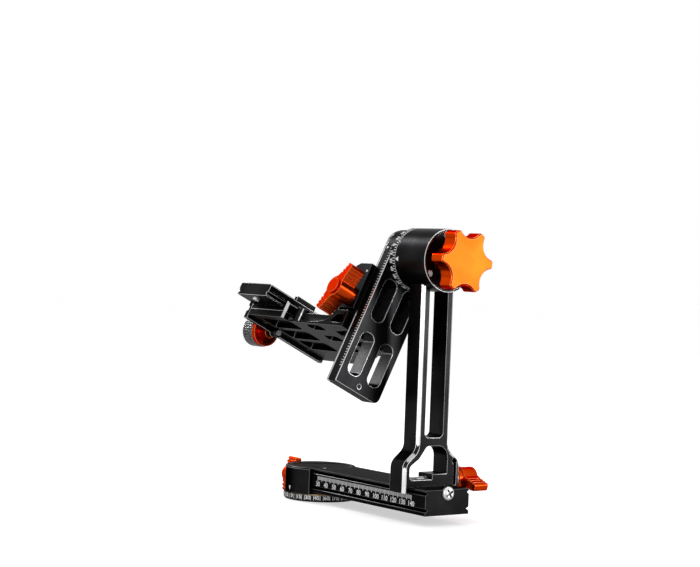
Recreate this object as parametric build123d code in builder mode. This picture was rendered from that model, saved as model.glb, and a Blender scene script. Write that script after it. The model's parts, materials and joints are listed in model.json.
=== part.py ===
from build123d import *

import os
from math import cos, radians, sin

# Gimbal tripod head.
#
# Frame: +Z up, origin on the pan axis at the bottom mounting face. The rail runs along +X, the upright
# stands on it, and the tilt axis runs along X. The swing arm is modelled in its own tilted frame, whose
# origin is on the tilt axis, X along that axis, Y towards the back and Z up along the swing plate.
# All sizes are in millimetres.

os.makedirs("parts", exist_ok=True)

# ---------------------------------------------------------------- driving sizes
# Clearances
running = 0.04            # radial play of a turning fit
sliding = 0.15            # play around a dovetail
slip = 0.05               # face play beside a turning face

# Pan base
base_radius = 27.2
base_height = 4.8
base_chamfer = 1.2
socket_radius = 4.76      # 3/8 inch tripod thread
socket_depth = 12.0
spindle_radius = 11.0
thrust_thickness = 0.4
retainer_radius = 17.3
retainer_thickness = 2.8
retainer_screw_circle = 7.6
retainer_screw_depth = 6.5

# Rail with its hub
rail_top = 24.5
rail_height = 17.5
rail_half = 19.0          # the 38 mm dovetail
rail_end = 149.2
hub_radius = 26.3
hub_flat = 15.6           # where the hub's round side ends and the rail begins
hub_edge = 1.0
dovetail_flange = 1.0
dovetail_depth = 1.7
dovetail_rise = 1.4
dovetail_fall = 1.2
rail_foot_flange = 2.6
rail_foot_groove = 2.4
rail_foot_depth = 2.2
bush_wall = 2.5
bush_height = 10.95
retainer_play = 0.7
cover_radius = 22.4
cover_thickness = 2.2
cover_screw_circle = 20.4
stop_head_radius = 4.7
stop_head_height = 2.4
stop_drop = 2.6           # stop screw's axis below the rail's top
stop_screw_radius = 1.6
stop_screw_length = 13.0

# Pan lock
pan_lock_height = 13.5
pan_lock_gap = 2.2
pan_wing_half = 13.0
pan_wing_stand = 4.5
pan_wing_depth = 10.0
pan_wing_hub = 6.0
pan_wing_angle = 78.0
pad_length = 5.4
pad_play = 0.5

# Upright arm
arm_inner = 116.5
arm_thickness = 15.6
post_half = 14.0
foot_half = 24.75
foot_play = 0.2
foot_reach = 4.0          # how far the jaws hang below the rail's top
flare_low = 41.0
flare_high = 50.0
flare_radius = 8.5
post_chamfer = 2.0
slot_half = 8.0
slot_bottom = 58.1
slot_corner = 3.6
jaw_wall = 3.75           # what stands outside the kerf
kerf_width = 2.3
kerf_top = 41.5
relief_radius = 2.3
window_floor = 29.3
window_step = 32.9
window_wall = 4.75        # between the window and the foot's side
window_kerf_wall = 5.9    # between the window and the kerf
base_screw_rise = 3.7     # clamp screw's axis above the rail's top
base_wing_angle = -14.5
stud_tip = 8.5

# Tilt housing and its bearings
tilt_height = 180.0
housing_radius = 21.8
housing_start = 109.2
housing_end = 141.96
housing_lip = 1.6
journal_radius = 8.5
bearing_outer = 15.0
bearing_width = 7.0
race_width = 4.0          # width of each ring of a bearing, seen from its end
race_groove = 0.5
cap_radius = 20.2
cap_thickness = 3.6
cap_seat = 135.0
cap_screw_circle = 17.5
cap_screw_angle = -148.0
cap_counterbore = 1.6
housing_edge = 0.25

# Swing arm
swing_angle = 26.3
plate_front = 102.9
plate_thickness = 12.7
plate_half = 20.4
plate_bottom = 103.6
plate_corner = 5.0
plate_slot_offset = 9.3
plate_slot_width = 11.6
plate_slot_height = 31.3
plate_slot_corner = 4.8
upper_slot_middle = -37.4
lower_slot_middle = -78.4
flange_half = 19.0
ring_width = 5.9
shoulder_radius = 12.3
shoulder_play = 0.5
shaft_screw_circle = 8.0
stop_margin = 4.8

# Tilt lock
star_tip = 22.17
star_scallop = 10.2
star_scallop_circle = 26.1
star_rounding = 1.8
star_front = 161.66
star_depth = 12.26
star_angle = -4.9
star_hub = 11.5
lock_stud = 4.0
lock_stud_reach = 17.0    # how far the stud goes into the shaft
friction_washer = 1.5

# Wing knobs
knob_stand = 3.4
knob_hub = 7.7
collar_step = 0.6         # the collar is this much smaller than the hub
wing_half = 19.2
wing_tip = 2.7            # half thickness of a wing at its end
wing_root = 4.6           # half thickness of a wing at the knob's axis
wing_depth = 12.0
wing_rounding = 1.9
rib_count = 3
rib_start = 2.3
rib_pitch = 3.0
rib_gap = 1.2
rib_sink = 0.9
dome_step = 2.2           # the dome is this much smaller than the hub
dome_height = 1.4
clamp_stud = 2.5
stud_hole_play = 0.4      # where a stud only passes through
washer_thickness = 0.85
blind_cover = 2.0         # knob left over a stud's end

# Lens bracket, in the swing arm's frame
bracket_top = -16.5
bracket_back = 74.5
bracket_front = 90.0
bracket_jaw_end = 93.6
jaw_bottom = -51.0
jaw_slit = 2.2
shelf_bottom = -65.3
shelf_top = -57.0
bracket_kerf_depth = 10.0
bracket_relief = 1.9
bracket_knob_height = -42.5
bracket_wing_angle = 27.4
crown_radius = 8.0
brace_rise = 11.3         # the brace arc of the front flange, above the shelf's underside
side_pocket_rise = 2.4
clamp_screw_rise = 4.6    # clamp screw's axis beyond the dovetail's face
shelf_front = -22.6
shelf_back = 45.0
shelf_slant = 40.0        # from here the shelf's back edge runs to the foot
flange_front = -24.5
lattice_start = 31.0
lattice_pitch = 17.5
lattice_depth = 6.0
corner_boss = 5.6
corner_boss_place = (31.0, -19.5)
corner_boss_height = 11.3

# Quick-release clamp, in the swing arm's frame
clamp_left = -19.3
clamp_front = -31.0
clamp_back = 46.0
clamp_seat = -60.3
cavity_depth = 3.4
cavity_pitch = 18.0
deck_top = -56.7
jaw_top = -52.4
fixed_jaw_end = 24.5
deck_corner = 1.6
jaw_gap = 0.3
jaw_outer = -24.1
jaw_low = -67.9
pin_radius = 1.5
pin_height = -62.8
pin_length = 18.0
pin_places = (-28.0, 37.0)
deck_screw_places = ((-14.5, -18.0), (-14.5, 27.0), (15.0, -9.0), (15.0, 9.0))
deck_counterbore = 1.8
clamp_axis_y = -4.5
clamp_axis_z = -67.0
screw_boss = 3.3
screw_boss_end = -13.3
jaw_screw_radius = 2.0
jaw_screw_reach = 7.0     # how far the clamp screw goes past the jaw's seat
clamp_knob_radius = 11.5
clamp_knob_end = -44.7
collar_start = -29.0
collar_end = -32.7
collar_hub = 4.4
dish_depth = 2.6
dish_taper = 60.0
clamp_knob_ribs = 36

# Lens plate, in the swing arm's frame
lens_plate_front = -47.0
lens_plate_back = 41.0
lens_plate_bottom = -56.5
lens_plate_top = -47.2
lens_slab_bottom = -52.0
lens_slab_half = 19.6
pad_half = 14.6
pad_thickness = 1.0
lens_screw_radius = 3.175
lens_screw_neck = 2.4     # below the thread, so that the screw stays in its slot
lens_screw_tip = -41.6
lens_stop = 42.0

# ---------------------------------------------------------------- derived places
kerf_outer = foot_half - jaw_wall
kerf_inner = kerf_outer - kerf_width
rail_bottom = rail_top - rail_height
hub_bottom = base_height + thrust_thickness + slip
hub_floor = hub_bottom + bush_height
spindle_top = hub_floor + thrust_thickness + slip
bush_outer = spindle_radius + running + bush_wall
cover_bottom = rail_top - cover_thickness
side_bottom = rail_bottom + rail_foot_flange + rail_foot_groove
groove_height = rail_top - dovetail_flange - dovetail_rise
side_top = groove_height - dovetail_fall
groove_half = rail_half - dovetail_depth
ridge_half = groove_half + sliding
foot_bottom = rail_top + foot_play
arm_middle = arm_inner + arm_thickness / 2
stud_height = rail_top + base_screw_rise
plate_back = plate_front - plate_thickness
neck_x = plate_back + dovetail_flange + dovetail_rise
slab_x = neck_x + dovetail_fall
cap_face = cap_seat + cap_thickness
shaft_shoulder_end = housing_start + housing_lip - slip
bracket_stud_x = plate_back - clamp_screw_rise
kerf_end = bracket_front - bracket_kerf_depth
slit_bottom = jaw_bottom - jaw_slit
thread_start = lens_plate_top + pad_thickness

GROUND = Location((0, 0, 0))
TILT = Location((0, 0, tilt_height))
SWING = Location((0, 0, tilt_height), (-swing_angle, 0, 0))


# ---------------------------------------------------------------- small helpers
def facing_x(x, frame=GROUND):
    """Plane whose sketch axes are Y and Z, growing towards +X."""
    return Plane(frame * Plane.YZ.offset(x).location)


def facing_left(x, frame=GROUND):
    """Plane whose sketch axes are -Y and Z, growing towards -X."""
    return Plane(frame * Plane((x, 0, 0), x_dir=(0, -1, 0), z_dir=(-1, 0, 0)).location)


def facing_front(y, frame=GROUND):
    """Plane whose sketch axes are X and Z, growing towards -Y."""
    return Plane(frame * Plane.XZ.offset(-y).location)


def facing_back(y, frame=GROUND):
    """Plane whose sketch axes are -X and Z, growing towards +Y."""
    return Plane(frame * Plane((0, y, 0), x_dir=(-1, 0, 0), z_dir=(0, 1, 0)).location)


def facing_up(z, frame=GROUND):
    """Plane whose sketch axes are X and Y, growing towards +Z."""
    return Plane(frame * Plane.XY.offset(z).location)


def at(plane, across, up):
    """The same plane with its origin moved within itself."""
    return Plane(plane.from_local_coords((across, up, 0)), x_dir=plane.x_dir, z_dir=plane.z_dir)


def around(radius, count, first):
    """Points spread evenly on a circle, from a first angle in degrees."""
    angles = [radians(first + 360 * turn / count) for turn in range(count)]
    return [(radius * cos(angle), radius * sin(angle)) for angle in angles]


def disc(plane, length, radius, bore=0.0, mode=Mode.ADD):
    """Round solid or ring that grows from the plane along its normal."""
    with BuildSketch(plane) as section:
        Circle(radius)
        if bore:
            Circle(bore, mode=Mode.SUBTRACT)
    extrude(section.sketch, amount=length, mode=mode)


def drill(plane, depth, radius):
    """Round hole that goes from the plane against its normal."""
    disc(plane, -depth, radius, mode=Mode.SUBTRACT)


def block(plane, low, high, length, mode=Mode.ADD):
    """Rectangular solid between two sketch corners."""
    with BuildSketch(plane) as section:
        with Locations(((low[0] + high[0]) / 2, (low[1] + high[1]) / 2)):
            Rectangle(high[0] - low[0], high[1] - low[1])
    extrude(section.sketch, amount=length, mode=mode)


def outline(plane, points, length, mode=Mode.ADD, radii=None):
    """Solid from a closed outline whose corners may be rounded."""
    with BuildSketch(plane) as section:
        if radii:
            with BuildLine():
                FilletPolyline(*points, radius=radii, close=True)
            make_face()
        else:
            Polygon(*points, align=None)
    extrude(section.sketch, amount=length, mode=mode)


def both_sides(points):
    """Closed outline from its right-hand points and their mirror images."""
    return points + [(-across, up) for across, up in reversed(points)]


def swapped(points):
    """The same outline with its two sketch axes exchanged."""
    return [(up, across) for across, up in points]


def screw(seat, shank_radius, shank_length, head_radius, head_height, socket_width):
    """Socket head screw: the head stands on the seat plane, the shank goes behind it."""
    disc(seat, head_height, head_radius)
    disc(seat, -shank_length, shank_radius)
    with BuildSketch(seat.offset(head_height)) as socket:
        RegularPolygon(socket_width / 2, 6, major_radius=False)
    extrude(socket.sketch, amount=-0.6 * head_height, mode=Mode.SUBTRACT)


def wing_knob(seat, half=wing_half, stand=knob_stand, depth=wing_depth, hub=knob_hub):
    """Two-winged knob with ribbed grips; the seat's first axis runs along the wings."""
    disc(seat, stand + 0.5, hub - collar_step)
    with BuildSketch(seat.offset(stand)) as wings:
        Polygon(
            (half, wing_tip), (0, wing_root), (-half, wing_tip),
            (-half, -wing_tip), (0, -wing_root), (half, -wing_tip), align=None,
        )
        Circle(hub)
        fillet(wings.vertices(), wing_rounding)
    extrude(wings.sketch, amount=depth)
    rib_places = [half - rib_start - rib_pitch * rib for rib in range(rib_count)]
    with BuildSketch(seat.offset(stand)) as gaps:
        for along in [place for place in rib_places if place > hub + rib_gap]:
            side = wing_root + (wing_tip - wing_root) * along / half
            with Locations((along, side), (-along, side), (along, -side), (-along, -side)):
                Rectangle(rib_gap, 2 * rib_sink)
    extrude(gaps.sketch, amount=depth, mode=Mode.SUBTRACT)
    disc(seat.offset(stand + depth), dome_height, hub - dome_step)
    drill(seat.offset(stand + depth - blind_cover), stand + depth - blind_cover, clamp_stud)


def finish(piece, name):
    """Label the piece and write it."""
    piece.part.label = name
    export_step(piece.part, "parts/" + name + ".step")


# ---------------------------------------------------------------- pan base
retainer_points = around(retainer_screw_circle, 3, 30)
cover_points = around(cover_screw_circle, 3, 90)

with BuildPart() as pan_base:
    disc(facing_up(0), base_height, base_radius)
    chamfer(pan_base.faces().sort_by(Axis.Z)[0].outer_wire().edges(), base_chamfer)
    disc(facing_up(base_height), spindle_top - base_height, spindle_radius)
    disc(facing_up(0), socket_depth, socket_radius, mode=Mode.SUBTRACT)
    for place in retainer_points:
        drill(at(facing_up(spindle_top), *place), retainer_screw_depth, 1.5)
finish(pan_base, "pan_base")

with BuildPart() as pan_thrust_washer:
    disc(facing_up(base_height), thrust_thickness, hub_radius - 1.5, spindle_radius + 1.0)
finish(pan_thrust_washer, "pan_thrust_washer")

with BuildPart() as pan_retainer:
    disc(facing_up(spindle_top), retainer_thickness, retainer_radius)
    for place in retainer_points:
        drill(at(facing_up(spindle_top + retainer_thickness), *place), retainer_thickness, 1.5)
finish(pan_retainer, "pan_retainer")

with BuildPart() as pan_retainer_screws:
    for place in retainer_points:
        screw(at(facing_up(spindle_top + retainer_thickness), *place), 1.5,
              retainer_thickness + retainer_screw_depth - 0.5, 2.75, 1.7, 2.0)
finish(pan_retainer_screws, "pan_retainer_screws")

# ---------------------------------------------------------------- rail with its hub
with BuildPart() as base_rail:
    outline(
        facing_x(0),
        both_sides([
            (rail_half, rail_bottom),
            (rail_half, rail_bottom + rail_foot_flange),
            (rail_half - rail_foot_depth, rail_bottom + rail_foot_flange + rail_foot_groove / 2),
            (rail_half, side_bottom),
            (rail_half, side_top),
            (groove_half, groove_height),
            (rail_half, groove_height + dovetail_rise),
            (rail_half, rail_top),
        ]),
        rail_end,
    )
    with BuildSketch(facing_up(hub_bottom)):
        Circle(hub_radius)
        with Locations((hub_flat + hub_radius, 0)):
            Rectangle(2 * hub_radius, 2 * hub_radius, mode=Mode.SUBTRACT)
    extrude(amount=rail_top - hub_bottom)
    chamfer(base_rail.edges().filter_by(GeomType.CIRCLE).group_by(Axis.Z)[-1], hub_edge)
    drill(facing_up(rail_top), rail_top, bush_outer)
    drill(facing_up(rail_top), rail_top - hub_floor, retainer_radius + retainer_play)
    drill(facing_up(rail_top), cover_thickness, cover_radius)
    drill(at(facing_left(-hub_radius), 0, pan_lock_height), hub_radius, clamp_stud + running)
    drill(at(facing_x(rail_end), 0, rail_top - stop_drop), stop_screw_length + 1, stop_screw_radius)
    for place in cover_points:
        drill(at(facing_up(cover_bottom), *place), 4.0, 1.0)
finish(base_rail, "base_rail")

with BuildPart() as pan_bush:
    disc(facing_up(hub_bottom), bush_height, bush_outer, spindle_radius + running)
    drill(at(facing_left(-bush_outer), 0, pan_lock_height), bush_outer, clamp_stud + running)
finish(pan_bush, "pan_bush")

with BuildPart() as pan_upper_washer:
    disc(facing_up(hub_floor), thrust_thickness, retainer_radius, spindle_radius + 0.6)
finish(pan_upper_washer, "pan_upper_washer")

with BuildPart() as pan_cover:
    disc(facing_up(cover_bottom), cover_thickness, cover_radius)
    for place in cover_points:
        drill(at(facing_up(rail_top), *place), cover_thickness, 1.0)
        drill(at(facing_up(rail_top), *place), 1.3, 1.9)
finish(pan_cover, "pan_cover")

with BuildPart() as pan_cover_screws:
    for place in cover_points:
        screw(at(facing_up(rail_top - 1.3), *place), 1.0, 4.4, 1.9, 1.2, 1.5)
finish(pan_cover_screws, "pan_cover_screws")

with BuildPart() as rail_stop_screw:
    stop_seat = at(facing_x(rail_end), 0, rail_top - stop_drop)
    disc(stop_seat, stop_head_height, stop_head_radius)
    fillet(rail_stop_screw.faces().sort_by(Axis.X)[-1].outer_wire().edges(), 2.0)
    with BuildSketch(stop_seat.offset(stop_head_height)):
        Rectangle(6.2, 1.4, rotation=30)
        Rectangle(1.4, 6.2, rotation=30)
    extrude(amount=-1.6, mode=Mode.SUBTRACT)
    disc(stop_seat, -stop_screw_length, stop_screw_radius)
finish(rail_stop_screw, "rail_stop_screw")

# ---------------------------------------------------------------- pan lock
pad_start = spindle_radius + running + pad_play
pan_stud_start = pad_start + pad_length + slip
pan_knob_start = hub_radius + pan_lock_gap
pan_stud_end = pan_knob_start + pan_wing_stand + pan_wing_depth - blind_cover

with BuildPart() as pan_brake_pad:
    disc(at(facing_left(-pad_start), 0, pan_lock_height), pad_length, clamp_stud)
finish(pan_brake_pad, "pan_brake_pad")

with BuildPart() as pan_lock_stud:
    disc(at(facing_left(-pan_stud_start), 0, pan_lock_height), pan_stud_end - pan_stud_start, clamp_stud)
finish(pan_lock_stud, "pan_lock_stud")

pan_wing = (0, cos(radians(pan_wing_angle)), sin(radians(pan_wing_angle)))
with BuildPart() as pan_lock_knob:
    pan_seat = Plane((-pan_knob_start, 0, pan_lock_height), x_dir=pan_wing, z_dir=(-1, 0, 0))
    wing_knob(pan_seat, pan_wing_half, pan_wing_stand, pan_wing_depth, pan_wing_hub)
    disc(pan_seat, 0.4 - pan_lock_gap, pan_wing_hub - collar_step)
    drill(pan_seat, pan_lock_gap, clamp_stud)
finish(pan_lock_knob, "pan_lock_knob")

# ---------------------------------------------------------------- upright arm
cap_points = around(cap_screw_circle, 3, cap_screw_angle)
foot_low = rail_top - foot_reach
window_left = window_wall - foot_half
window_right = kerf_inner - window_kerf_wall

with BuildPart() as upright_arm:
    outline(
        facing_x(arm_inner),
        both_sides([
            (foot_half, foot_low), (foot_half, flare_low), (post_half, flare_high), (post_half, tilt_height),
        ]),
        arm_thickness,
        radii=[0, flare_radius, flare_radius, 0, 0, flare_radius, flare_radius, 0],
    )
    outer_edges = upright_arm.faces().sort_by(Axis.X)[-1].outer_wire().edges()
    chamfer(outer_edges.filter_by(lambda edge: rail_top < edge.center().Z < tilt_height - 1), post_chamfer)
    # clamp foot: dovetail groove, kerf with its relief hole
    outline(
        facing_x(arm_inner),
        both_sides([
            (rail_half + sliding, foot_low - 1),
            (rail_half + sliding, side_top + sliding),
            (ridge_half, groove_height),
            (rail_half + sliding, groove_height + dovetail_rise - sliding),
            (rail_half + sliding, foot_bottom),
        ]),
        arm_thickness,
        mode=Mode.SUBTRACT,
    )
    block(facing_x(arm_inner), (kerf_inner, foot_bottom), (kerf_outer, kerf_top), arm_thickness,
          mode=Mode.SUBTRACT)
    disc(at(facing_x(arm_inner), (kerf_inner + kerf_outer) / 2 - 0.6, kerf_top), arm_thickness, relief_radius,
         mode=Mode.SUBTRACT)
    # long slot of the post and the window above the foot
    outline(
        facing_x(arm_inner),
        both_sides([(slot_half, slot_bottom), (slot_half, tilt_height)]),
        arm_thickness,
        mode=Mode.SUBTRACT,
        radii=[slot_corner, 0, 0, slot_corner],
    )
    outline(
        facing_x(arm_inner),
        [
            (window_right, window_step),
            (window_right, flare_high + 2.4),
            (8.6 - post_half, flare_high + 2.4),
            (window_left + 8.0, flare_low + 2.8),
            (window_left, flare_low - 2.4),
            (window_left, window_floor),
            (0.0, window_floor),
            (0.0, window_step),
        ],
        arm_thickness,
        mode=Mode.SUBTRACT,
        radii=[0.8, 8.5, 3.6, 6.0, 4.0, 3.4, 0.6, 0.6],
    )
    # tilt housing
    disc(facing_x(housing_start, TILT), housing_end - housing_start, housing_radius)
    chamfer(upright_arm.faces().sort_by(Axis.X)[-1].outer_wire().edges(), housing_edge)
    drill(facing_x(housing_end, TILT), housing_end - housing_start, shoulder_radius + shoulder_play)
    drill(facing_x(housing_end, TILT), housing_end - housing_start - housing_lip, bearing_outer)
    drill(facing_x(housing_end, TILT), housing_end - cap_seat, cap_radius)
    for place in cap_points:
        drill(at(facing_x(cap_seat, TILT), *place), 9.0, 1.25)
    # clamp screw's hole: loose in the jaw, close in the body
    drill(at(facing_back(foot_half), -arm_middle, stud_height), foot_half - kerf_inner,
          clamp_stud + stud_hole_play)
    drill(at(facing_back(kerf_inner), -arm_middle, stud_height), kerf_inner + stud_tip + 1.5,
          clamp_stud + running)
finish(upright_arm, "upright_arm")

bearing_front_start = cap_seat - bearing_width
bearing_rear_start = housing_start + housing_lip
race_outer = bearing_outer - race_width / 2
race_inner = journal_radius + race_width / 2

with BuildPart() as tilt_bearing_rear:
    disc(facing_x(bearing_rear_start, TILT), bearing_width, bearing_outer, journal_radius + running)
    disc(facing_x(bearing_rear_start + bearing_width, TILT), -race_groove, race_outer, race_inner,
         mode=Mode.SUBTRACT)
finish(tilt_bearing_rear, "tilt_bearing_rear")

with BuildPart() as tilt_bearing_front:
    disc(facing_x(bearing_front_start, TILT), bearing_width, bearing_outer, journal_radius + running)
    disc(facing_x(bearing_front_start + bearing_width, TILT), -race_groove, race_outer, race_inner,
         mode=Mode.SUBTRACT)
finish(tilt_bearing_front, "tilt_bearing_front")

with BuildPart() as bearing_spacer:
    spacer_start = bearing_rear_start + bearing_width
    disc(facing_x(spacer_start, TILT), bearing_front_start - spacer_start, bearing_outer, bearing_outer - 1.8)
finish(bearing_spacer, "bearing_spacer")

with BuildPart() as tilt_cap:
    disc(facing_x(cap_seat, TILT), cap_thickness, cap_radius, lock_stud + 1.0)
    for place in cap_points:
        drill(at(facing_x(cap_face, TILT), *place), cap_thickness, 1.25)
        drill(at(facing_x(cap_face, TILT), *place), cap_counterbore, 2.35)
finish(tilt_cap, "tilt_cap")

with BuildPart() as tilt_cap_screws:
    for place in cap_points:
        screw(at(facing_x(cap_face - cap_counterbore, TILT), *place), 1.25, 10.0, 2.35, 2.5, 2.5)
finish(tilt_cap_screws, "tilt_cap_screws")

# ---------------------------------------------------------------- base clamp
knob_seat = foot_half + slip + washer_thickness
stud_end = knob_seat + knob_stand + wing_depth - blind_cover

with BuildPart() as base_clamp_stud:
    disc(at(facing_back(-stud_tip), -arm_middle, stud_height), stud_end + stud_tip, clamp_stud)
finish(base_clamp_stud, "base_clamp_stud")

with BuildPart() as base_clamp_washer:
    disc(at(facing_back(foot_half + slip), -arm_middle, stud_height), washer_thickness, 6.0, clamp_stud)
finish(base_clamp_washer, "base_clamp_washer")

base_wing = (cos(radians(base_wing_angle)), 0, sin(radians(base_wing_angle)))
with BuildPart() as base_clamp_knob:
    wing_knob(Plane((arm_middle, knob_seat, stud_height), x_dir=base_wing, z_dir=(0, 1, 0)))
finish(base_clamp_knob, "base_clamp_knob")

# ---------------------------------------------------------------- swing arm
screw_seat = plate_back + 4.4
shaft_points = around(shaft_screw_circle, 4, 45)
plate_stops = (stop_margin - plate_bottom, plate_half - stop_margin)

with BuildPart() as swing_plate:
    outline(
        facing_up(-plate_bottom, SWING),
        swapped(both_sides([
            (flange_half, plate_back),
            (flange_half, plate_back + dovetail_flange),
            (flange_half - dovetail_depth, neck_x),
            (flange_half, slab_x),
            (plate_half, slab_x),
            (plate_half, plate_front),
        ])),
        plate_bottom + plate_half,
    )
    with BuildSketch(facing_x(plate_back, SWING)):
        with BuildLine():
            FilletPolyline(
                (-plate_half, 0), (-plate_half, -plate_bottom), (plate_half, -plate_bottom), (plate_half, 0),
                radius=[0.8, plate_corner],
            )
            Line((plate_half, 0), (-plate_half, 0))
        make_face()
        Circle(plate_half)
    extrude(amount=plate_thickness, mode=Mode.INTERSECT)
    with BuildSketch(facing_x(plate_back, SWING)):
        with Locations(
            (-plate_slot_offset, upper_slot_middle), (plate_slot_offset, upper_slot_middle),
            (-plate_slot_offset, lower_slot_middle), (plate_slot_offset, lower_slot_middle),
        ):
            RectangleRounded(plate_slot_width, plate_slot_height, plate_slot_corner)
    extrude(amount=plate_thickness, mode=Mode.SUBTRACT)
    for place in shaft_points:
        drill(at(facing_x(plate_front, SWING), *place), plate_thickness, 2.0)
        drill(at(facing_x(screw_seat, SWING), *place), screw_seat - plate_back, 3.6)
    for place in plate_stops:
        drill(at(facing_x(plate_front, SWING), 0, place), plate_thickness, 1.5)
finish(swing_plate, "swing_plate")

with BuildPart() as tilt_scale_ring:
    disc(facing_x(plate_front, SWING), ring_width, housing_radius, shoulder_radius)
finish(tilt_scale_ring, "tilt_scale_ring")

with BuildPart() as tilt_shaft:
    disc(facing_x(plate_front, SWING), shaft_shoulder_end - plate_front, shoulder_radius)
    disc(facing_x(shaft_shoulder_end, SWING), cap_seat - slip - shaft_shoulder_end, journal_radius)
    drill(facing_x(cap_seat - slip, SWING), lock_stud_reach + 2.0, lock_stud + running)
    for place in shaft_points:
        disc(at(facing_x(plate_front, SWING), *place), 6.0, 2.0, mode=Mode.SUBTRACT)
finish(tilt_shaft, "tilt_shaft")

with BuildPart() as shaft_screws:
    for across, up in shaft_points:
        screw(at(facing_left(screw_seat, SWING), across, up), 2.0, plate_front + 5.5 - screw_seat, 3.5, 4.0, 3.0)
finish(shaft_screws, "shaft_screws")

with BuildPart() as swing_stop_screws:
    for place in plate_stops:
        screw(at(facing_left(plate_back, SWING), 0, place), 1.5, plate_thickness - 0.6, 2.6, 1.8, 2.0)
finish(swing_stop_screws, "swing_stop_screws")

# ---------------------------------------------------------------- tilt lock
washer_end = cap_face + slip + friction_washer

with BuildPart() as tilt_friction_washer:
    disc(facing_x(cap_face + slip, TILT), friction_washer, 10.6, lock_stud)
finish(tilt_friction_washer, "tilt_friction_washer")

with BuildPart() as tilt_lock_stud:
    disc(facing_x(cap_seat - lock_stud_reach, TILT), star_front - 4.0 - cap_seat + lock_stud_reach, lock_stud)
finish(tilt_lock_stud, "tilt_lock_stud")

with BuildPart() as tilt_lock_knob:
    with BuildSketch(facing_x(star_front - star_depth, TILT)) as star:
        Circle(star_tip)
        with PolarLocations(star_scallop_circle, 6, start_angle=star_angle + 30):
            Circle(star_scallop, mode=Mode.SUBTRACT)
        fillet(star.vertices(), star_rounding)
    extrude(amount=star_depth)
    chamfer(tilt_lock_knob.faces().sort_by(Axis.X)[-1].outer_wire().edges(), 0.9)
    chamfer(tilt_lock_knob.faces().sort_by(Axis.X)[0].outer_wire().edges(), 0.6)
    disc(facing_x(washer_end, TILT), star_front - star_depth - washer_end, star_hub)
    drill(facing_x(star_front - 4.0, TILT), star_front - 4.0 - washer_end, lock_stud)
finish(tilt_lock_knob, "tilt_lock_knob")

# ---------------------------------------------------------------- lens bracket
ridge_start = plate_back + dovetail_flange + sliding
side_gap = rail_half + sliding
ridge_clear = ridge_half - 0.4
deck_points = [
    (clamp_left, clamp_front), (fixed_jaw_end - deck_corner, clamp_front),
    (fixed_jaw_end, clamp_front + deck_corner), (fixed_jaw_end, clamp_back), (clamp_left, clamp_back),
]

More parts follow.
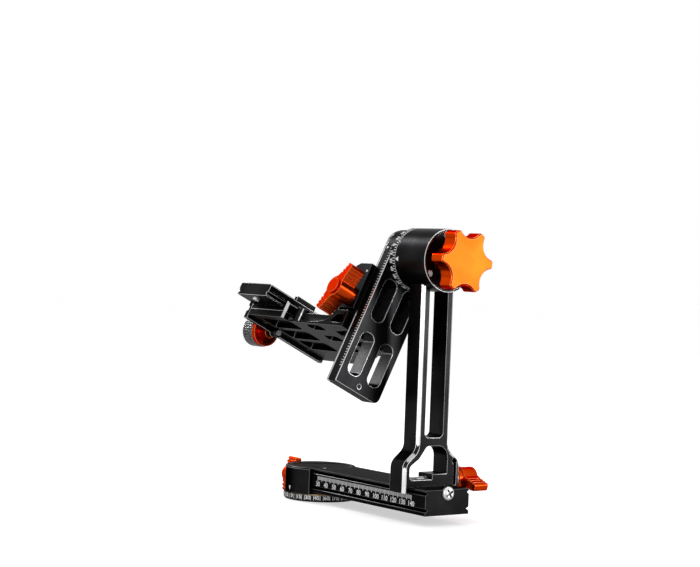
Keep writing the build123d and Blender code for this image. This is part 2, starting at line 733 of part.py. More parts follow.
with BuildPart() as lens_bracket:
    # clamp foot: its cross-section runs along the swing plate
    outline(
        facing_up(shelf_bottom, SWING),
        swapped(both_sides([
            (foot_half, bracket_back),
            (foot_half, bracket_jaw_end),
            (side_gap, bracket_jaw_end),
            (ridge_half, neck_x),
            (side_gap, ridge_start),
            (side_gap, bracket_front),
        ])),
        bracket_top - shelf_bottom,
    )
    with BuildSketch(facing_front(foot_half, SWING)) as crown:
        with Locations((bracket_back + crown_radius / 2, bracket_top - crown_radius / 2)):
            Rectangle(crown_radius, crown_radius)
        with Locations((bracket_back + crown_radius, bracket_top - crown_radius)):
            Circle(crown_radius, mode=Mode.SUBTRACT)
    extrude(crown.sketch, amount=2 * foot_half, mode=Mode.SUBTRACT)
    # kerf with its relief hole, and the slit that frees the jaw
    block(facing_up(jaw_bottom, SWING), (kerf_end, -kerf_outer), (bracket_front, -kerf_inner),
          bracket_top - jaw_bottom, mode=Mode.SUBTRACT)
    disc(at(facing_up(jaw_bottom, SWING), kerf_end, -(kerf_inner + kerf_outer) / 2),
         bracket_top - jaw_bottom, bracket_relief, mode=Mode.SUBTRACT)
    block(facing_up(slit_bottom, SWING), (kerf_end - bracket_relief, -foot_half),
          (bracket_jaw_end, -ridge_clear), jaw_slit, mode=Mode.SUBTRACT)
    block(facing_up(shelf_bottom, SWING), (bracket_front, -foot_half), (bracket_jaw_end, -ridge_clear),
          slit_bottom - shelf_bottom, mode=Mode.SUBTRACT)
    # shelf towards the clamp, with its front flange and the round boss in the corner
    outline(
        facing_up(shelf_bottom, SWING),
        [
            (fixed_jaw_end, shelf_front), (bracket_back, shelf_front), (bracket_back, foot_half),
            (shelf_slant, shelf_back), (fixed_jaw_end, shelf_back),
        ],
        shelf_top - shelf_bottom,
    )
    outline(facing_up(shelf_bottom, SWING), deck_points, clamp_seat - shelf_bottom)
    outline(
        facing_front(shelf_front, SWING),
        [
            (fixed_jaw_end, shelf_bottom),
            (bracket_front, shelf_bottom),
            (bracket_front, shelf_bottom + brace_rise),
            (bracket_back, shelf_bottom + brace_rise),
            (bracket_back - 3.5, shelf_bottom + 5.6),
            (bracket_back - 8.0, shelf_bottom + 3.4),
            (bracket_back - 14.3, shelf_bottom + 2.1),
            (bracket_back - 23.5, shelf_bottom + 1.4),
            (fixed_jaw_end, shelf_bottom + 1.2),
        ],
        shelf_front - flange_front,
    )
    disc(at(facing_up(shelf_bottom, SWING), *corner_boss_place), corner_boss_height, corner_boss)
    block(facing_up(clamp_seat, SWING), (clamp_left, clamp_front), (fixed_jaw_end + 0.2, clamp_back),
          corner_boss_height, mode=Mode.SUBTRACT)
    # lightening pockets below the shelf and the recess beside the foot
    with BuildSketch(facing_up(shelf_bottom, SWING)):
        for row in range(3):
            forward = 17.3 - lattice_pitch * row
            with Locations((50.2, -forward)):
                RectangleRounded(17.0, 8.8, 3.0)
        for row in range(2):
            forward = 10.4 - lattice_pitch * row
            with BuildLine():
                FilletPolyline(
                    (68.5, 5.6 - forward), (68.5, -3.2 - forward), (86.0, -6.4 - forward), (86.0, -1.0 - forward),
                    radius=1.2, close=True,
                )
            make_face()
    extrude(amount=lattice_depth, mode=Mode.SUBTRACT)
    outline(
        facing_front(-foot_half, SWING),
        [
            (bracket_back - 2.0, shelf_bottom + side_pocket_rise),
            (bracket_front - 2.4, shelf_bottom + side_pocket_rise),
            (bracket_front - 2.4, slit_bottom - 3.2),
            (kerf_end - 1.0, slit_bottom - 3.2),
        ],
        -7.0,
        mode=Mode.SUBTRACT,
        radii=[1.5, 2.0, 2.0, 2.0],
    )
    with BuildSketch(facing_up(shelf_bottom, SWING)):
        for row in range(3):
            with Locations((8.5, cavity_pitch * (row - 1))):
                RectangleRounded(36.0, 14.6, 3.2)
    extrude(amount=cavity_depth, mode=Mode.SUBTRACT)
    # boss of the clamp screw, guide holes of the jaw, clamp screw's hole of the foot
    disc(at(facing_x(clamp_left, SWING), clamp_axis_y, clamp_axis_z), screw_boss_end - clamp_left, screw_boss)
    drill(at(facing_left(clamp_left, SWING), -clamp_axis_y, clamp_axis_z), jaw_screw_reach + 1.0,
          jaw_screw_radius + running)
    for place in pin_places:
        drill(at(facing_left(clamp_left, SWING), -place, pin_height), pin_length - 3.0, pin_radius + running)
    for across, along in deck_screw_places:
        drill(at(facing_up(clamp_seat, SWING), across, along), clamp_seat - shelf_bottom, 1.25)
    drill(at(facing_front(-foot_half, SWING), bracket_stud_x, bracket_knob_height), foot_half - kerf_inner,
          clamp_stud + stud_hole_play)
    drill(at(facing_front(-kerf_inner, SWING), bracket_stud_x, bracket_knob_height), kerf_inner + stud_tip,
          clamp_stud + running)
finish(lens_bracket, "lens_bracket")

with BuildPart() as bracket_clamp_stud:
    disc(at(facing_front(stud_tip - 1.5, SWING), bracket_stud_x, bracket_knob_height), stud_end + stud_tip - 1.5,
         clamp_stud)
finish(bracket_clamp_stud, "bracket_clamp_stud")

with BuildPart() as bracket_clamp_washer:
    disc(at(facing_front(-foot_half - slip, SWING), bracket_stud_x, bracket_knob_height), washer_thickness, 6.0,
         clamp_stud)
finish(bracket_clamp_washer, "bracket_clamp_washer")

bracket_wing = (sin(radians(bracket_wing_angle)), 0, cos(radians(bracket_wing_angle)))
with BuildPart() as bracket_clamp_knob:
    bracket_seat = Plane((bracket_stud_x, -knob_seat, bracket_knob_height), x_dir=bracket_wing, z_dir=(0, -1, 0))
    wing_knob(Plane(SWING * bracket_seat.location))
finish(bracket_clamp_knob, "bracket_clamp_knob")

# ---------------------------------------------------------------- quick-release clamp
lens_groove = lens_plate_bottom + dovetail_flange + dovetail_rise
hook_low = lens_plate_bottom + dovetail_flange + sliding
hook_high = lens_groove + dovetail_fall - sliding

with BuildPart() as clamp_body:
    outline(
        facing_front(clamp_back, SWING),
        [
            (clamp_left, clamp_seat),
            (fixed_jaw_end, clamp_seat),
            (fixed_jaw_end, jaw_top - 1.2),
            (fixed_jaw_end - 1.2, jaw_top),
            (side_gap, jaw_top),
            (side_gap, hook_high),
            (ridge_half, lens_groove),
            (side_gap, hook_low),
            (side_gap, deck_top),
            (clamp_left, deck_top),
        ],
        clamp_back - clamp_front,
    )
    outline(facing_up(clamp_seat, SWING), deck_points, jaw_top - clamp_seat, mode=Mode.INTERSECT)
    for across, along in deck_screw_places:
        drill(at(facing_up(deck_top, SWING), across, along), deck_top - clamp_seat, 1.25)
        drill(at(facing_up(deck_top, SWING), across, along), deck_counterbore, 2.4)
finish(clamp_body, "clamp_body")

with BuildPart() as clamp_body_screws:
    for across, along in deck_screw_places:
        screw(at(facing_up(deck_top - deck_counterbore, SWING), across, along), 1.25, 5.6, 2.4, 1.7, 2.0)
finish(clamp_body_screws, "clamp_body_screws")

with BuildPart() as clamp_jaw:
    outline(
        facing_front(clamp_back, SWING),
        [
            (clamp_left - jaw_gap, jaw_low),
            (clamp_left - jaw_gap, hook_low - 1.8),
            (-side_gap, hook_low - 0.4),
            (-side_gap, hook_low),
            (-ridge_half, lens_groove),
            (-side_gap, hook_high),
            (-side_gap, jaw_top),
            (jaw_outer + 1.2, jaw_top),
            (jaw_outer, jaw_top - 1.2),
            (jaw_outer, -58.0),
            (jaw_outer + 2.0, -59.0),
            (jaw_outer + 2.0, -61.5),
            (jaw_outer, -62.5),
            (jaw_outer, jaw_low),
        ],
        clamp_back - clamp_front,
    )
    with BuildSketch(facing_left(clamp_left - jaw_gap, SWING)):
        with Locations((-clamp_axis_y, clamp_axis_z)):
            Circle(screw_boss)
    extrude(amount=clamp_left - jaw_gap - jaw_outer)
    drill(at(facing_left(jaw_outer - 1, SWING), -clamp_axis_y, clamp_axis_z), 8.0,
          jaw_screw_radius + stud_hole_play)
    for place in pin_places:
        drill(at(facing_x(clamp_left - jaw_gap, SWING), place, pin_height), 2.4, pin_radius)
finish(clamp_jaw, "clamp_jaw")

with BuildPart() as jaw_guide_pins:
    for place in pin_places:
        disc(at(facing_x(clamp_left - jaw_gap - 2.4, SWING), place, pin_height), pin_length - 2.0, pin_radius)
finish(jaw_guide_pins, "jaw_guide_pins")

with BuildPart() as clamp_screw:
    disc(at(facing_left(clamp_left + jaw_screw_reach, SWING), -clamp_axis_y, clamp_axis_z),
         clamp_left + jaw_screw_reach - clamp_knob_end - blind_cover, jaw_screw_radius)
finish(clamp_screw, "clamp_screw")

with BuildPart() as clamp_knob_collar:
    collar_seat = at(facing_left(collar_start, SWING), -clamp_axis_y, clamp_axis_z)
    disc(collar_seat, collar_start - collar_end, clamp_knob_radius - 0.7)
    with BuildSketch(collar_seat) as dish:
        Circle(clamp_knob_radius - 1.7)
    extrude(dish.sketch, amount=dish_depth, taper=dish_taper, mode=Mode.SUBTRACT)
    disc(collar_seat.offset(dish_depth), collar_start - jaw_outer + slip - dish_depth, collar_hub)
    drill(at(facing_left(collar_end, SWING), -clamp_axis_y, clamp_axis_z), jaw_outer - collar_end,
          jaw_screw_radius)
finish(clamp_knob_collar, "clamp_knob_collar")

with BuildPart() as clamp_knob:
    knob_plane = at(facing_left(collar_end, SWING), -clamp_axis_y, clamp_axis_z)
    disc(knob_plane, collar_end - clamp_knob_end, clamp_knob_radius)
    chamfer(clamp_knob.edges().filter_by(GeomType.CIRCLE), 0.6)
    with BuildSketch(knob_plane):
        with PolarLocations(clamp_knob_radius + 0.1, clamp_knob_ribs):
            Circle(0.5)
    extrude(amount=collar_end - clamp_knob_end, mode=Mode.SUBTRACT)
    drill(knob_plane.offset(collar_end - clamp_knob_end - blind_cover), collar_end - clamp_knob_end,
          jaw_screw_radius)
finish(clamp_knob, "clamp_knob")

# ---------------------------------------------------------------- lens plate
with BuildPart() as lens_plate:
    outline(
        facing_front(lens_plate_back, SWING),
        both_sides([
            (flange_half, lens_plate_bottom),
            (flange_half, lens_plate_bottom + dovetail_flange),
            (flange_half - dovetail_depth, lens_groove),
            (flange_half, lens_groove + dovetail_fall),
            (flange_half, lens_slab_bottom),
            (lens_slab_half, lens_slab_bottom),
            (lens_slab_half, lens_plate_top - 0.8),
            (lens_slab_half - 0.8, lens_plate_top),
        ]),
        lens_plate_back - lens_plate_front,
    )
    block(facing_up(lens_plate_top, SWING), (lens_slab_half - 4.2, -22.0), (lens_slab_half - 0.8, -4.0), 3.4)
    with BuildSketch(facing_up(lens_plate_top, SWING)):
        SlotCenterToCenter(44.0, 2 * lens_screw_radius + 0.4, rotation=90)
    extrude(amount=lens_plate_bottom - lens_plate_top, mode=Mode.SUBTRACT)
    with BuildSketch(facing_up(lens_plate_bottom, SWING)):
        SlotCenterToCenter(44.0, 13.0, rotation=90)
    extrude(amount=4.0, mode=Mode.SUBTRACT)
    drill(at(facing_up(lens_plate_bottom + 6.0, SWING), 0, -lens_stop), 6.0, 1.5)
finish(lens_plate, "lens_plate")

with BuildPart() as lens_plate_pad:
    block(facing_up(lens_plate_top, SWING), (-pad_half, lens_plate_front + 2), (pad_half, lens_plate_back - 2),
          pad_thickness)
    with BuildSketch(facing_up(lens_plate_top, SWING)):
        SlotCenterToCenter(44.0, 2 * lens_screw_radius + 2.0, rotation=90)
    extrude(amount=pad_thickness, mode=Mode.SUBTRACT)
finish(lens_plate_pad, "lens_plate_pad")

with BuildPart() as plate_stop_screw:
    disc(at(facing_up(lens_plate_bottom, SWING), 0, -lens_stop), -1.9, 2.5)
    disc(at(facing_up(lens_plate_bottom, SWING), 0, -lens_stop), 5.5, 1.5)
finish(plate_stop_screw, "plate_stop_screw")

with BuildPart() as lens_screw:
    disc(facing_up(lens_plate_bottom + 4.0, SWING), -3.2, 6.2)
    with BuildSketch(facing_up(lens_plate_bottom + 0.8, SWING)):
        RegularPolygon(2.4, 6, major_radius=False)
    extrude(amount=2.0, mode=Mode.SUBTRACT)
    disc(facing_up(lens_plate_bottom + 4.0, SWING), thread_start - lens_plate_bottom - 4.0, lens_screw_neck)
    disc(facing_up(thread_start, SWING), lens_screw_tip - thread_start, lens_screw_radius)
finish(lens_screw, "lens_screw")
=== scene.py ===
# %% [markdown]
# # A gimbal tripod head
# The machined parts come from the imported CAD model, which is the fixed frame of this scene. Nothing in
# it is moved. Blender adds what makes the metal look real: broken edges that catch the light, printed
# scales and the finishes. Everything is in metres, where the CAD model has it.

# %% Load the frame
import json
import math

import bmesh
import bpy
from mathutils import Matrix, Vector

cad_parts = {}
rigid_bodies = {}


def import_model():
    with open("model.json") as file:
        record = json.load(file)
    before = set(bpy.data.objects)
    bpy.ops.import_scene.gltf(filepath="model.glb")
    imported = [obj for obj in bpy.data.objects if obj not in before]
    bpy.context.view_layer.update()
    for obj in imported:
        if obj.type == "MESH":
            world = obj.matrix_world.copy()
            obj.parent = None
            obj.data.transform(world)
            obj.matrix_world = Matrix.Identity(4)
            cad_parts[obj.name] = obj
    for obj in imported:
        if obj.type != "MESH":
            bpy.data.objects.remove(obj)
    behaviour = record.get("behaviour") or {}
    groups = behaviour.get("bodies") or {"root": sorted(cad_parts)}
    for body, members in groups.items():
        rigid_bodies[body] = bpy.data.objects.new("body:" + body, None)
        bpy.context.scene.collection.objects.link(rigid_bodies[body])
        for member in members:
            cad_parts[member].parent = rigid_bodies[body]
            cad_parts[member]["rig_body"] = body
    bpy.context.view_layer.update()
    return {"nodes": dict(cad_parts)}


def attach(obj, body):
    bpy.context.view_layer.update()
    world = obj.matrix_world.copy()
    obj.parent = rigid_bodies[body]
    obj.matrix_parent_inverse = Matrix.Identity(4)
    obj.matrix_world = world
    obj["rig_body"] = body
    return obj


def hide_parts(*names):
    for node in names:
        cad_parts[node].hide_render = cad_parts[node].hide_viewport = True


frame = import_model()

MM = 0.001

# %% [markdown]
# ## The places that the marks need
# The upright stands on a dovetail rail along X, and the tilt axis runs along X above it. The swing arm
# hangs from that axis, turned by the swing angle, so its parts have their own two directions: one
# across the arm, and one along it. The sizes could be measured on the CAD meshes, but they are plainer
# as the numbers that the CAD model was drawn with.

# %% Named places
RAIL_SIDE_Y = -19.0 * MM
SCALE_ZERO_X = -6.5 * MM
BASE_RADIUS = 27.2 * MM
HUB_RADIUS = 26.3 * MM
TILT_CENTRE = Vector((0, 0, 180 * MM))
SWING_ANGLE = math.radians(26.3)
HOUSING_RADIUS = 21.8 * MM
PLATE_FRONT_X = 102.9 * MM
RING_END_X = 108.8 * MM
PLATE_HALF = 20.4 * MM
FOOT_HALF = 24.75 * MM

UP = Vector((0, 0, 1))
ALONG_X = Vector((1, 0, 0))
ACROSS_ARM = Vector((0, math.cos(SWING_ANGLE), -math.sin(SWING_ANGLE)))
ALONG_ARM = Vector((0, math.sin(SWING_ANGLE), math.cos(SWING_ANGLE)))


def on_arm(x, across, along):
    """A point given in the swing arm's own directions, in metres."""
    return TILT_CENTRE + ALONG_X * x + ACROSS_ARM * across + ALONG_ARM * along


print("swing arm runs along", [round(v, 3) for v in ALONG_ARM])

# %% [markdown]
# ## Small helpers
# An operator works on everything that is selected, so each helper first deselects all and picks its
# own object. Applying a place moves it into the mesh, so every finished object ends at the origin.

# %% Helpers for picking and placing
def pick(piece):
    """Makes this object the only selected and the active one."""
    bpy.ops.object.select_all(action="DESELECT")
    piece.select_set(True)
    bpy.context.view_layer.objects.active = piece
    return piece


def apply_place(piece):
    """Moves an object's turn, place and size into its mesh."""
    pick(piece)
    bpy.ops.object.transform_apply(location=True, rotation=True, scale=True)


def apply_modifiers(piece):
    """Turns every modifier of an object into mesh, in their order."""
    pick(piece)
    for modifier in list(piece.modifiers):
        bpy.ops.object.modifier_apply(modifier=modifier.name)


def axes_matrix(origin, across, up):
    """The place of something whose X runs across, Y runs up and Z points out of the surface."""
    out = across.cross(up)
    turn = Matrix((across, up, out)).transposed().to_4x4()
    return Matrix.Translation(origin) @ turn


print("rail side looks along", [round(v, 3) for v in axes_matrix(TILT_CENTRE, ALONG_X, UP).col[2]])

# %% [markdown]
# ## How one finish is wired
# Real coats are never one even colour. Each finish is a Principled shader whose colour comes from large
# soft clouds and whose gloss and tiny dents come from fine noise. Pictures could be wrapped round the
# parts instead, but noise in the object's own coordinates has no seams and stays on the part from every
# side. Specular Tint is the colour that a metal reflects at a grazing angle: a thin dark coat stays dark
# there, where bare metal would turn white.

# %% A helper that wires one finish
CLOUD_RANGE = (0.3, 0.72)
DENT_DEPTH = 0.05 * MM


def noise(nodes, links, place, scale, detail):
    """Noise in the object's own coordinates."""
    pattern = nodes.new("ShaderNodeTexNoise")
    pattern.inputs["Scale"].default_value = scale
    pattern.inputs["Detail"].default_value = detail
    links.new(place.outputs["Object"], pattern.inputs["Vector"])
    return pattern.outputs["Fac"]


def finish(name, dark, light, metallic, rough, grain=900.0, cloud=55.0, bump=0.04, specular=0.5,
           grazing=(1, 1, 1)):
    """Principled shader with clouds of colour, uneven gloss and a fine grain."""
    material = bpy.data.materials.new(name)
    material.use_nodes = True
    nodes, links = material.node_tree.nodes, material.node_tree.links
    shader = nodes["Principled BSDF"]
    shader.inputs["Metallic"].default_value = metallic
    shader.inputs["Specular IOR Level"].default_value = specular
    shader.inputs["Specular Tint"].default_value = (*grazing, 1)
    place = nodes.new("ShaderNodeTexCoord")

    colours = nodes.new("ShaderNodeValToRGB")
    for stop, position, colour in zip(colours.color_ramp.elements, CLOUD_RANGE, (dark, light)):
        stop.position = position
        stop.color = (*colour, 1)
    links.new(noise(nodes, links, place, cloud, 5.0), colours.inputs["Fac"])
    links.new(colours.outputs["Color"], shader.inputs["Base Color"])

    fine = noise(nodes, links, place, grain, 3.0)
    gloss = nodes.new("ShaderNodeMapRange")
    gloss.inputs["To Min"].default_value = rough[0]
    gloss.inputs["To Max"].default_value = rough[1]
    links.new(fine, gloss.inputs["Value"])
    links.new(gloss.outputs["Result"], shader.inputs["Roughness"])
    dents = nodes.new("ShaderNodeBump")
    dents.inputs["Strength"].default_value = bump
    dents.inputs["Distance"].default_value = DENT_DEPTH
    links.new(fine, dents.inputs["Height"])
    links.new(dents.outputs["Normal"], shader.inputs["Normal"])
    return material


print("each finish dents its surface by at most", DENT_DEPTH, "m")

# %% [markdown]
# ## The finishes of this head
# Most of the head is blasted aluminium with a black anodised coat, which is satin and a little uneven.
# The rail and base are a duller black. The broken edges get lighter coats than their faces, grey and
# orange, as a painted highlight along them. The knobs are anodised orange, a clear dye over metal, so
# they reflect like metal, in orange, and turn deep red at a grazing angle.

# %% The black and bare metals, and greys that paint highlights
COATS = {
    "black_anodised": finish("black_anodised", (0.009, 0.009, 0.0095), (0.019, 0.019, 0.020), 1.0,
                             (0.26, 0.36), grazing=(0.5, 0.5, 0.5)),
    "black_dull": finish("black_dull", (0.008, 0.008, 0.0085), (0.016, 0.016, 0.0165), 1.0,
                         (0.30, 0.40), grazing=(0.12, 0.12, 0.12)),
    # Painted highlights: two greys for the broken edges, lighter than the faces they border.
    "painted_soft_edge_highlight": finish("painted_soft_edge_highlight", (0.09, 0.09, 0.092), (0.17, 0.17, 0.172), 1.0, (0.24, 0.36)),
    "painted_edge_highlight": finish("painted_edge_highlight", (0.52, 0.52, 0.53), (0.74, 0.74, 0.75), 1.0, (0.22, 0.34)),
    # Painted highlight: a light grey for the long chamfers and the clamp's corner.
    "painted_chamfer_highlight": finish("painted_chamfer_highlight", (0.42, 0.42, 0.43), (0.60, 0.60, 0.61), 1.0, (0.26, 0.36)),
    # Painted sheen: a brighter grey for the walls of the slots, where light falls on them.
    "painted_wall_sheen": finish("painted_wall_sheen", (0.16, 0.16, 0.162), (0.32, 0.32, 0.322), 1.0, (0.28, 0.40),
                          cloud=900.0, grazing=(0.5, 0.5, 0.5)),
    # Painted light: the cap screws are paler and partly diffuse, so that they stay bright in the shade of
    # the star knob.
    "cap_screw_steel_painted_bright": finish("cap_screw_steel_painted_bright", (0.80, 0.80, 0.81), (0.92, 0.92, 0.93), 0.35,
                              (0.2, 0.3)),
    "bright_steel": finish("bright_steel", (0.66, 0.66, 0.67), (0.80, 0.80, 0.81), 0.75, (0.2, 0.32)),
    "bearing_steel": finish("bearing_steel", (0.68, 0.68, 0.7), (0.8, 0.8, 0.82), 1.0, (0.1, 0.2)),
    "bronze": finish("bronze", (0.45, 0.29, 0.12), (0.62, 0.42, 0.2), 1.0, (0.3, 0.45)),
}
print("metals:", ", ".join(COATS))

# %% The dyed, moulded and printed finishes
COATS["orange_anodised"] = finish("orange_anodised", (0.48, 0.034, 0.003), (0.60, 0.056, 0.005), 1.0,
                                  (0.20, 0.27), grain=2600.0, cloud=38.0, bump=0.02,
                                  grazing=(0.7, 0.11, 0.03))
# Painted highlight: a lighter orange for the broken edges of the knobs.
COATS["orange_edge_painted_highlight"] = finish("orange_edge_painted_highlight", (0.92, 0.20, 0.05), (1.0, 0.34, 0.11), 0.95, (0.2, 0.3),
                              grain=2600.0, bump=0.02)
COATS["knob_black"] = finish("knob_black", (0.006, 0.006, 0.006), (0.014, 0.014, 0.014), 0.0,
                             (0.3, 0.42), specular=0.2)
COATS["rubber_pad"] = finish("rubber_pad", (0.014, 0.014, 0.014), (0.03, 0.03, 0.03), 0.0, (0.6, 0.8),
                             grain=1400.0, bump=0.5)
COATS["printed_white"] = finish("printed_white", (0.72, 0.72, 0.72), (0.86, 0.86, 0.86), 0.0,
                                (0.5, 0.62))
print("finishes:", len(COATS))

# %% [markdown]
# ## Machined pieces with broken edges
# A milled part never has a truly sharp edge. The cutter leaves a small chamfer, and that thin bright
# line is what makes metal read as metal. A shader can fake it, but only in a render. Here each CAD part
# is copied, its loose triangles are welded and its flat faces joined again, and a Bevel modifier then
# breaks the outward edges only, which are chosen by code as a hand would click them. The bevel gets its
# own lighter coat, a painted highlight along the edge.

# %% Choosing the outward edges
SHARP_EDGE = math.radians(30)


def mark_outward_edges(piece):
    """Gives every sharp edge that points outwards a bevel weight of 1, and counts them."""
    shape = bmesh.new()
    shape.from_mesh(piece.data)
    weight = shape.edges.layers.float.get("bevel_weight_edge") or shape.edges.layers.float.new(
        "bevel_weight_edge")
    marked = 0
    for edge in shape.edges:
        if len(edge.link_faces) == 2 and edge.is_convex and edge.calc_face_angle(0) > SHARP_EDGE:
            edge[weight] = 1.0
            marked += 1
    shape.to_mesh(piece.data)
    shape.free()
    return marked


print("edges over", round(math.degrees(SHARP_EDGE)), "degrees are broken")

# %% A helper that breaks the edges of a CAD part
WELD_DISTANCE = 2e-6
FLAT_ENOUGH = math.radians(0.4)
SMOOTH_UNDER = math.radians(28)
FLAT_FACE_WEIGHT = 90


def clean_copy(node, coats):
    """A copy of a CAD part with its triangles welded and its flat faces joined, all in the first coat."""
    piece = bpy.data.objects.new(node + "_finished", frame["nodes"][node].data.copy())
    bpy.context.scene.collection.objects.link(piece)
    piece.data.materials.clear()
    for coat in coats:
        piece.data.materials.append(COATS[coat])
    for face in piece.data.polygons:
        face.material_index = 0
    pick(piece)
    bpy.ops.object.mode_set(mode="EDIT")
    bpy.ops.mesh.select_all(action="SELECT")
    bpy.ops.mesh.remove_doubles(threshold=WELD_DISTANCE)
    bpy.ops.mesh.dissolve_limited(angle_limit=FLAT_ENOUGH)
    bpy.ops.mesh.normals_make_consistent(inside=False)
    bpy.ops.object.mode_set(mode="OBJECT")
    return piece


def broken_edges(node, coat, edge_highlight_coat, width):
    """A copy of a CAD part whose outward edges carry a small chamfer, width in millimetres."""
    piece = clean_copy(node, (coat, edge_highlight_coat))
    marked = mark_outward_edges(piece)
    bevel = piece.modifiers.new("broken edges", "BEVEL")
    bevel.width = width * MM
    bevel.segments = 2
    bevel.limit_method = "WEIGHT"
    bevel.use_clamp_overlap = False
    # The bevel takes the second, lighter coat: a painted highlight along every broken edge.
    bevel.material = 1
    bevel.miter_outer = "MITER_ARC"
    apply_modifiers(piece)
    bpy.ops.object.shade_smooth_by_angle(angle=SMOOTH_UNDER)
    flatten = piece.modifiers.new("flat faces stay flat", "WEIGHTED_NORMAL")
    flatten.keep_sharp = True
    flatten.weight = FLAT_FACE_WEIGHT
    apply_modifiers(piece)
    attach(piece, frame["nodes"][node]["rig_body"])
    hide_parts(node)
    print(f"{node}: {marked} edges broken, {len(piece.data.polygons)} faces")
    return piece


print("corners closer than", WELD_DISTANCE, "m are welded")

# %% [markdown]
# ## Which part has which finish
# Every part in sight gets a finish, a finish for its edges, and the width of those edges. The slotted
# plate has the widest ones, because its slots shine all round in the photograph. The edges of the
# rail, the base and the bracket shine less there, so they are a softer grey.

# %% Finish every visible CAD part
EDGED_PARTS = (
    # finish, finish of the edges with their painted highlight, slot, and the parts with the width of
    # their edges in millimetres
    ("black_anodised", "painted_edge_highlight", "black_anodised",
     {"upright_arm": 0.2, "swing_plate": 0.45, "tilt_cap": 0.12, "clamp_body": 0.2, "clamp_jaw": 0.2,
      "lens_plate": 0.2, "tilt_scale_ring": 0.15}),
    ("black_dull", "painted_soft_edge_highlight", "black_anodised",
     {"pan_base": 0.16, "base_rail": 0.2, "pan_cover": 0.12}),
    ("black_anodised", "painted_soft_edge_highlight", "black_anodised",
     {"lens_bracket": 0.16, "swing_stop_screws": 0.1}),
    ("orange_anodised", "orange_edge_painted_highlight", "orange_anodised",
     {"pan_lock_knob": 0.12, "base_clamp_knob": 0.14, "bracket_clamp_knob": 0.14,
      "tilt_lock_knob": 0.12, "clamp_knob_collar": 0.18}),
    ("bright_steel", "painted_edge_highlight", "bright_steel",
     {"rail_stop_screw": 0.12, "pan_cover_screws": 0.08, "shaft_screws": 0.12,
      "clamp_body_screws": 0.1, "base_clamp_washer": 0.1, "bracket_clamp_washer": 0.1,
      "plate_stop_screw": 0.12}),
    # The cap screws' steel is painted brighter than it would look in their shade.
    ("cap_screw_steel_painted_bright", "painted_edge_highlight", "bright_steel", {"tilt_cap_screws": 0.12}),
    ("knob_black", "painted_edge_highlight", "knob_black", {"clamp_knob": 0.06}),
)
finished = {}
for coat, edge_highlight_coat, slot, widths in EDGED_PARTS:
    for node, width in widths.items():
        finished[node] = broken_edges(node, coat, edge_highlight_coat, width)

# %% [markdown]
# ## Painted highlights on chamfers and slot walls, painted shade in a recess
# The long chamfers of the upright and the corner of the clamp get a light grey coat, a painted highlight,
# and the walls of the slots a brighter grey, a painted sheen. The recess of the stop screw gets a black
# coat, painted shade, because it lies in the dark. These faces are found by the way they look and where
# they lie, and get another material on the same mesh, so no second piece has to fit on the first.

# %% Which faces they are
SLANTED = math.cos(math.radians(45))
NEARLY = 0.03
SMALL_FACET = 1.5 * MM * MM
STOP_SCREW_Z = 21.9 * MM
STOP_SCREW_HEAD_X = (150.0 * MM, 151.5 * MM)
STOP_SCREW_RECESS = 3.3 * MM


def is_post_chamfer(face):
    return abs(face.normal.x - SLANTED) < NEARLY and face.area > SMALL_FACET


def is_deck_corner(face):
    return abs(face.normal.x - SLANTED) < NEARLY and abs(face.normal.dot(ACROSS_ARM) + SLANTED) < NEARLY


def is_slot_wall(face):
    aside = abs((face.center - TILT_CENTRE).dot(ACROSS_ARM))
    return abs(face.normal.dot(ACROSS_ARM)) > 1 - NEARLY and aside < PLATE_HALF - MM


# The faces of the stop screw's recess, which get a black coat as painted shade.
def is_screw_recess(face):
    aside = math.hypot(face.center.y, face.center.z - STOP_SCREW_Z)
    return aside < STOP_SCREW_RECESS and STOP_SCREW_HEAD_X[0] < face.center.x < STOP_SCREW_HEAD_X[1]


print("a face may look", round(math.degrees(NEARLY / SLANTED), 1), "degrees off a chamfer's own way")

# %% Give them their finish
def recoat(node, coat, chosen):
    """Gives the faces of a part that pass a test another finish, and counts them."""
    mesh = finished[node].data
    mesh.materials.append(COATS[coat])
    faces = [face for face in mesh.polygons if chosen(face)]
    for face in faces:
        face.material_index = len(mesh.materials) - 1
    print(f"{node}: {len(faces)} faces in {coat}")


# Painted highlights on the chamfers and the deck corners.
recoat("upright_arm", "painted_chamfer_highlight", is_post_chamfer)
recoat("clamp_body", "painted_chamfer_highlight", is_deck_corner)
recoat("lens_bracket", "painted_chamfer_highlight", is_deck_corner)
# Painted sheen on the slot walls.
recoat("swing_plate", "painted_wall_sheen", is_slot_wall)
# Painted shade in the stop screw's recess.
recoat("rail_stop_screw", "knob_black", is_screw_recess)

# %% [markdown]
# ## The parts inside
# Washers, bearings, studs and pins hardly show, so they keep their CAD shape and only need their metal.
# It is set on the CAD object itself, which a copy would only double.

# %% Finish the inner parts
INNER_PARTS = {
    "bronze": ("pan_thrust_washer", "pan_upper_washer", "pan_bush", "pan_brake_pad",
               "tilt_friction_washer"),
    "bearing_steel": ("tilt_bearing_rear", "tilt_bearing_front"),
    "bright_steel": ("pan_retainer", "pan_retainer_screws", "pan_lock_stud", "bearing_spacer",
                     "tilt_shaft", "tilt_lock_stud", "jaw_guide_pins", "clamp_screw",
                     "base_clamp_stud", "bracket_clamp_stud", "lens_screw"),
    "rubber_pad": ("lens_plate_pad",),
}
for coat, nodes in INNER_PARTS.items():
    for node in nodes:
        frame["nodes"][node].data.materials.clear()
        frame["nodes"][node].data.materials.append(COATS[coat])
    print(f"{coat}: {len(nodes)} inner parts")

# %% [markdown]
# ## Printed marks
# The numbers and ticks are printed on the black coat. A picture on the surface could show them, but it
# blurs close up. They are made as very thin solid pieces that stand a few hundredths of a millimetre
# proud, so they are real geometry.

# %% Helpers for one printed mark
PRINT_THICKNESS = 0.06 * MM
CAPITAL_HEIGHT = 0.70


